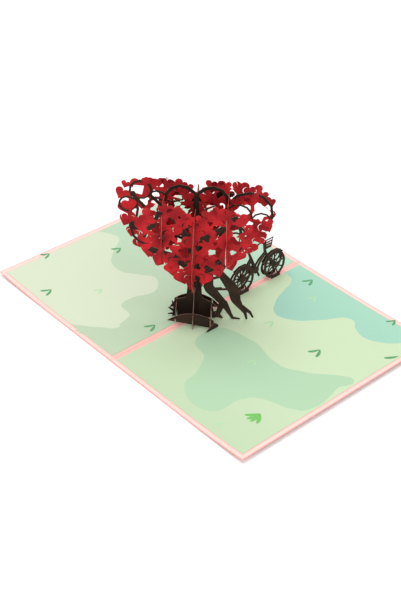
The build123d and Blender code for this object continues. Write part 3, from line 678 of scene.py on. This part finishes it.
# %% Further windows
WINDOW_SHARE = 1.05
MORE_WINDOWS = {
    "middle_blossom": [
        (-14.0, 91.5, 3.0), (-7.0, 88.0, 3.0), (-17.0, 84.0, 2.6), (5.5, 94.0, 1.8), (14.5, 86.5, 2.8),
        (17.5, 92.0, 2.0), (-3.5, 83.0, 2.4), (-9.5, 94.5, 1.8), (-12.0, 86.0, 2.2),
        (-18.5, 90.0, 1.8), (6.0, 87.0, 2.4), (10.0, 91.5, 2.2), (-40.5, 99.0, 3.4),
        (-33.5, 92.5, 2.6), (-27.0, 87.0, 2.4), (-36.0, 79.0, 2.4), (31.0, 76.0, 2.2),
        (-9.5, 80.0, 2.0), (-22.0, 64.0, 2.6), (12.0, 66.0, 2.2), (-13.0, 58.0, 2.0),
    ],
    "rear_blossom": [
        (-13.0, 77.0, 3.4), (-7.0, 72.5, 3.4), (-17.5, 71.0, 2.4), (14.0, 73.0, 3.2), (8.0, 78.0, 2.6),
        (7.0, 69.0, 2.6), (-25.0, 74.0, 2.4), (-12.0, 64.5, 2.6), (13.5, 64.0, 2.4), (-6.5, 82.0, 2.4),
        (25.0, 71.0, 2.4), (-16.0, 84.0, 2.4), (16.0, 82.0, 2.4), (6.0, 86.0, 2.0), (25.0, 81.0, 2.2),
        (-25.0, 84.0, 2.2),
    ],
    "front_blossom": [
        (-3.0, 88.0, 1.6), (10.0, 91.0, 1.6), (-20.5, 76.0, 1.5), (4.5, 77.0, 1.6), (-4.0, 61.0, 1.5),
        (13.5, 76.0, 1.4), (-31.0, 79.0, 1.6), (-11.5, 64.5, 1.6), (7.5, 63.0, 1.5),
        (-15.0, 55.5, 1.4), (30.0, 64.0, 1.4),
    ],
}
WINDOW_TURN, MORE_TURN = 47, 31
MORE_SHARES = (1.0, 0.8, 0.6)
HEART_SHARES = (1.0, 0.8, 0.62)
print("further windows:", {name: len(rows) for name, rows in MORE_WINDOWS.items()})

# %% Choose the knives
def choose_knives(sheet, name, places, facing):
    """Copies the knives to the windows' and the hearts' places where they pass the test."""
    openings = read_openings(sheet, facing)
    knives = slim_knives if name == "middle_blossom" else wide_knives
    chosen = {}
    for number, (middle, radius, owner) in enumerate(list(openings.windows())):
        reach = 1000 * radius * WINDOW_SHARE
        place = standing(middle, facing, WINDOW_TURN * number) @ Matrix.Diagonal((reach, reach, 1, 1))
        key = ("window", number)
        chosen[key] = try_knife(openings, key, round_knife, place, facing, owner)
    more = MORE_WINDOWS.get(name, ())
    for share in MORE_SHARES:
        for number, (across, up, reach) in enumerate(more):
            if not chosen.get(("more", number)):
                spot = crown_frame(name)[3] + Vector((0, 0, 1)).cross(facing) * across / 1000
                spot.z = up / 1000
                size = Matrix.Diagonal((share * reach, share * reach, 1, 1))
                place = standing(spot, facing, MORE_TURN * number) @ size
                key = ("more", number)
                chosen[key] = try_knife(openings, key, round_knife, place, facing)
    taken = [number for number in range(len(more)) if chosen.get(("more", number))]
    print(name, "takes the further windows", taken)
    for share in HEART_SHARES:
        for number, place in enumerate(places):
            for side, knife in enumerate(knives):
                if not chosen.get((number, side)):
                    smaller = place @ Matrix.Diagonal((share, share, 1, 1))
                    cut_name = ("cut", number, side)
                    chosen[number, side] = try_knife(openings, cut_name, knife, smaller, facing)
    return [tool for tool in chosen.values() if tool]


# %% [markdown]
# A crown's copy is merged first, because a solid comes in as loose triangles. The knives are then
# subtracted from it, and what they set loose is dropped, as it would fall out of real paper.

# %% Cut the hearts
def merged_copy(name):
    """A copy of a node with its triangles merged into one closed mesh."""
    bpy.ops.object.select_all(action="DESELECT")
    sheet = bpy.data.objects.new(f"{name}_hearts", nodes[name].data.copy())
    bpy.context.collection.objects.link(sheet)
    sheet.select_set(True)
    bpy.context.view_layer.objects.active = sheet
    bpy.ops.object.mode_set(mode="EDIT")
    bpy.ops.mesh.select_all(action="SELECT")
    bpy.ops.mesh.remove_doubles(threshold=0.000001)
    bpy.ops.object.mode_set(mode="OBJECT")
    return sheet


def drop_scraps(sheet):
    """Drops the scraps that the knives set loose, and keeps the largest part as the sheet."""
    name = sheet.name
    bpy.ops.mesh.separate(type="LOOSE")
    *scraps, kept = sorted(bpy.context.selected_objects, key=lambda part: len(part.data.polygons))
    print(name, "drops", len(scraps), "scraps of", [len(part.data.polygons) for part in scraps], "faces")
    for part in scraps:
        bpy.data.objects.remove(part)
    kept.name = kept.data.name = name
    return kept


def cut_hearts(name):
    """Replaces a red sheet by a copy whose hearts are cut out along their sides."""
    sheet = merged_copy(name)
    chosen = choose_knives(sheet, name, *heart_places(name))
    cutter = join(chosen)
    bpy.ops.object.select_all(action="DESELECT")
    sheet.select_set(True)
    bpy.context.view_layer.objects.active = sheet
    bpy.ops.object.modifier_add(type="BOOLEAN")
    cut = sheet.modifiers[-1]
    cut.operation, cut.solver, cut.use_self, cut.object = "DIFFERENCE", "EXACT", True, cutter
    bpy.ops.object.modifier_apply(modifier=cut.name)
    bpy.data.objects.remove(cutter)
    sheet = drop_scraps(sheet)
    sheet.data.materials.clear()
    sheet.data.materials.append(finish_of(name).material)
    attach(sheet, "root")
    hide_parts(name)
    print(sheet.name, "has", len(chosen), "cuts and", len(sheet.data.polygons), "faces")


for name in nodes:
    if name.endswith("blossom"):
        cut_hearts(name)
for knife in [*wide_knives, *slim_knives, round_knife]:
    bpy.data.objects.remove(knife)

# %% [markdown]
# Single hearts stand along the top of the two crowns in view: behind the arches, in front of them,
# and on the edge of the front sheet. A heart is a circle pulled into shape and made as thick as the
# red paper. The sheet's rim could be cut to them instead, but they stand beyond the solid's rim, and
# a cut only takes away. A row gives its places across and up in mm, its size in mm and its lean.

# %% Rows of single hearts
RED_PAPER = 0.0002
HEART_CORNERS = 24
MIDDLE_RIM = [
    (-46.0, 104.0, S, -20), (-31.0, 107.5, M, -15), (-25.0, 108.0, M, 10), (-19.5, 107.0, M, -10),
    (-13.5, 107.5, L, 15), (-6.5, 104.0, M, -20), (6.5, 102.5, S, 15), (9.0, 107.5, M, -15),
    (13.5, 108.0, M, 10), (18.0, 107.5, M, -10), (34.5, 103.0, M, 20), (42.0, 100.5, M, -10),
    (48.5, 95.5, S, 20), (-48.8, 97.0, L, -30), (47.0, 76.0, M, 30),
]
FRONT_RIM = [
    (-17.5, 100.0, M, -15), (-12.5, 97.5, L, 20), (-6.5, 95.0, M, -20), (-2.5, 92.0, S, 15),
    (4.0, 92.5, M, -15), (9.5, 96.5, L, 10), (14.5, 99.5, M, -20), (30.5, 92.5, M, 15),
    (-35.0, 91.0, M, 20),
]
ARCH_ROW = [
    (-43.6, 88.5, L, 10), (-33.0, 107.0, S, -15), (-9.9, 101.0, S, -20), (-5.3, 96.5, M, 15),
    (5.3, 96.5, M, -15), (25.2, 94.9, S, 10), (30.9, 96.0, M, -10), (35.8, 97.0, L, 15),
    (47.0, 79.5, M, 20),
]


print("single hearts:", len(MIDDLE_RIM), len(FRONT_RIM), len(ARCH_ROW))


# %% Add the single hearts
def join_pieces(parts, name, finish):
    """Joins parts into one named piece, which rides on the card and takes a finish."""
    piece = join(parts)
    bpy.ops.object.transform_apply(location=True, rotation=True, scale=True)
    piece.name = piece.data.name = name
    piece.data.materials.clear()
    piece.data.materials.append(finish.material)
    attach(piece, "root")
    print(name, "has", len(parts), "parts and", len(piece.data.polygons), "faces")


def add_heart(place):
    """A heart of red paper, 1 mm wide before its place stretches it."""
    turns = [math.tau * (index + 0.5) / HEART_CORNERS for index in range(HEART_CORNERS)]
    heart = add_prism([heart_point(turn, 0) for turn in turns], RED_PAPER)
    heart.data.transform(place)
    return heart


def rim_place(level, across, up, size, lean):
    """Where a single heart stands, kept under the top of the solids."""
    facing = Vector(FACINGS["front"])
    spot = TREE_CENTRE + Vector((0, 0, 1)).cross(facing) * across / 1000 + facing * level
    spot.z = min(up / 1000, solid_box[1][2] - 0.5 * size / 1000)
    return standing(spot, facing, lean) @ Matrix.Diagonal((size, size, 1, 1))


def add_rim(name, level, row):
    """Adds a row of single hearts at a distance from the tree's middle plane."""
    hearts = [add_heart(rim_place(level, *place)) for place in row]
    join_pieces(hearts, name, papers["red_paper", "front"])


MIDDLE_SHEET, ARCH_FRONT, FRONT_SHEET = -0.00028, 0.00028, 0.02079
add_rim("middle_rim_hearts", MIDDLE_SHEET, MIDDLE_RIM)
add_rim("arch_hearts", ARCH_FRONT, ARCH_ROW)
add_rim("front_rim_hearts", FRONT_SHEET, FRONT_RIM)

# %% [markdown]
# Small green blades of grass are printed on the leaves, in pairs that lean together. A blade is a
# circle pulled into a slim leaf. It lies on the paper, so it follows the leaf's slight curl.

# %% A blade of grass
LINER_AND_GLUE = 0.00026
LINER_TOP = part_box("left_anchor")[0].z + LINER_AND_GLUE
FLAT_REACH, EDGE_LIFT, LEAF = 0.060, 0.0025, 0.127
BLADE_CORNERS, BLADE_WIDTH, BLADE_BEND = 14, 0.13, 0.06
PRINT_LIFT = 0.00003


def leaf_height(across):
    """Height of the printed surface at a distance from the fold."""
    run = max(abs(across) - FLAT_REACH, 0)
    return LINER_TOP + EDGE_LIFT * (run / (LEAF - FLAT_REACH)) ** 2


def add_blade(foot, length, turn):
    """One printed blade from its foot, its length in mm and its turn from the card's depth in degrees."""
    bpy.ops.object.select_all(action="DESELECT")
    bpy.ops.mesh.primitive_circle_add(vertices=BLADE_CORNERS, radius=1, fill_type="NGON")
    blade = bpy.context.object
    heading = Matrix.Rotation(math.radians(-turn), 3, "Z")
    for point in blade.data.vertices:
        share = (point.co.y + 1) / 2
        slim = BLADE_WIDTH * point.co.x * (1.25 - 0.6 * share)
        bend = BLADE_BEND * math.sin(math.pi * share)
        spot = heading @ Vector((slim + bend, share, 0)) * length / 1000
        across = foot[0] / 1000 + spot.x
        point.co = (across, foot[1] / 1000 + spot.y, leaf_height(across) + PRINT_LIFT)
    return blade


print("printed surface at", round(LINER_TOP, 5))

# %% [markdown]
# The tufts are set out as they lie on the card: a tip, a size in mm, and how strong the ink is. Most
# have two blades, and the bright one near the front corner has four.

# %% Tufts of grass
def grass_ink(name, strong, weak):
    """A printed green that is stronger in some places than in others."""
    finish = Finish(name, 0.7)
    finish.colour(finish.blend(finish.noise(700, 3.0), strong, weak))
    return finish


dark_ink = grass_ink("grass_dark", ink(74, 142, 92), ink(112, 172, 122))
faint_ink = grass_ink("grass_faint", ink(160, 206, 160), ink(184, 218, 176))
bright_ink = grass_ink("grass_bright", ink(98, 178, 84), ink(134, 198, 112))

dark_tufts = [
    (-97, -2, 7.5), (-10, -42, 8), (-88, -72, 8), (-123, -48, 7), (22, 79, 8), (93, 88, 7),
    (82, 25, 9),
]
faint_tufts = [
    (-66, -44, 6), (-38, -83, 5), (38, 66, 6), (39, 23, 7), (62, -15, 7), (52, -59, 5), (93, -74, 5),
]
lone_blade, bright_tuft = [(122, 58, 10)], [(103, -51, 10)]


def tuft_blades(tufts, turns):
    """Blades of several tufts: all of a tuft's blades meet near its tip."""
    blades = []
    for across, along, size in tufts:
        for turn in turns:
            lean = math.radians(turn)
            foot = (across - size * math.sin(lean), along - size * math.cos(lean))
            blades.append(add_blade(foot, size, turn))
    return blades


dark_blades = tuft_blades(dark_tufts, (-26, 26)) + tuft_blades(lone_blade, (32,))
join_pieces(dark_blades, "grass_dark_print", dark_ink)
faint_blades = tuft_blades(faint_tufts, (-28, 22))
join_pieces(faint_blades, "grass_faint_print", faint_ink)
bright_blades = tuft_blades(bright_tuft, (-34, -8, 12, 36))
join_pieces(bright_blades, "grass_bright_print", bright_ink)

# %% [markdown]
# The picture shows the card on a pure white ground in even light, with only a faint shadow under
# its edges. A wide pale floor and a bright world give that. A large soft lamp from the upper left
# gives the slats a lit side and a darker side, and a weaker one from the front right fills the shade.

# %% Floor and light
FLOOR_SIZE, FLOOR_DROP = 12, 0.0004
FLOOR_GREYS = (0.93, 0.93, 0.93, 1), (0.95, 0.95, 0.95, 1)
WORLD_LIGHT = 0.75

bpy.ops.object.select_all(action="DESELECT")
bpy.ops.mesh.primitive_plane_add(size=FLOOR_SIZE, location=(0, 0, -FLOOR_DROP))
floor = bpy.context.object
floor.name = "floor"
floor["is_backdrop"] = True
floor_finish = Finish("floor_white", 0.9)
floor_finish.colour(floor_finish.blend(floor_finish.noise(3.0), *FLOOR_GREYS))
floor.data.materials.append(floor_finish.material)

world = bpy.data.worlds.new("studio")
bpy.context.scene.world = world
world.use_nodes = True
world.node_tree.nodes["Background"].inputs["Color"].default_value = (1, 1, 1, 1)
world.node_tree.nodes["Background"].inputs["Strength"].default_value = WORLD_LIGHT


def add_lamp(name, place, size, power):
    """A square soft lamp that points at the card."""
    bpy.ops.object.light_add(type="AREA", location=place)
    lamp = bpy.context.object
    lamp.name = name
    lamp.data.size = size
    lamp.data.energy = power
    lamp.rotation_euler = (-Vector(place)).to_track_quat("-Z", "Y").to_euler()


add_lamp("key_lamp", (-0.35, -0.15, 1.7), 1.1, 14)
add_lamp("fill_lamp", (0.9, -0.8, 1.1), 1.6, 7)
bpy.context.scene.view_settings.view_transform = "Standard"

# %% Measure and finish
dressed_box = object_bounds()
sizes = {
    "cad": [list(corner) for corner in solid_box],
    "visual": [list(corner) for corner in dressed_box],
}
print("dressed box:", sizes["visual"])
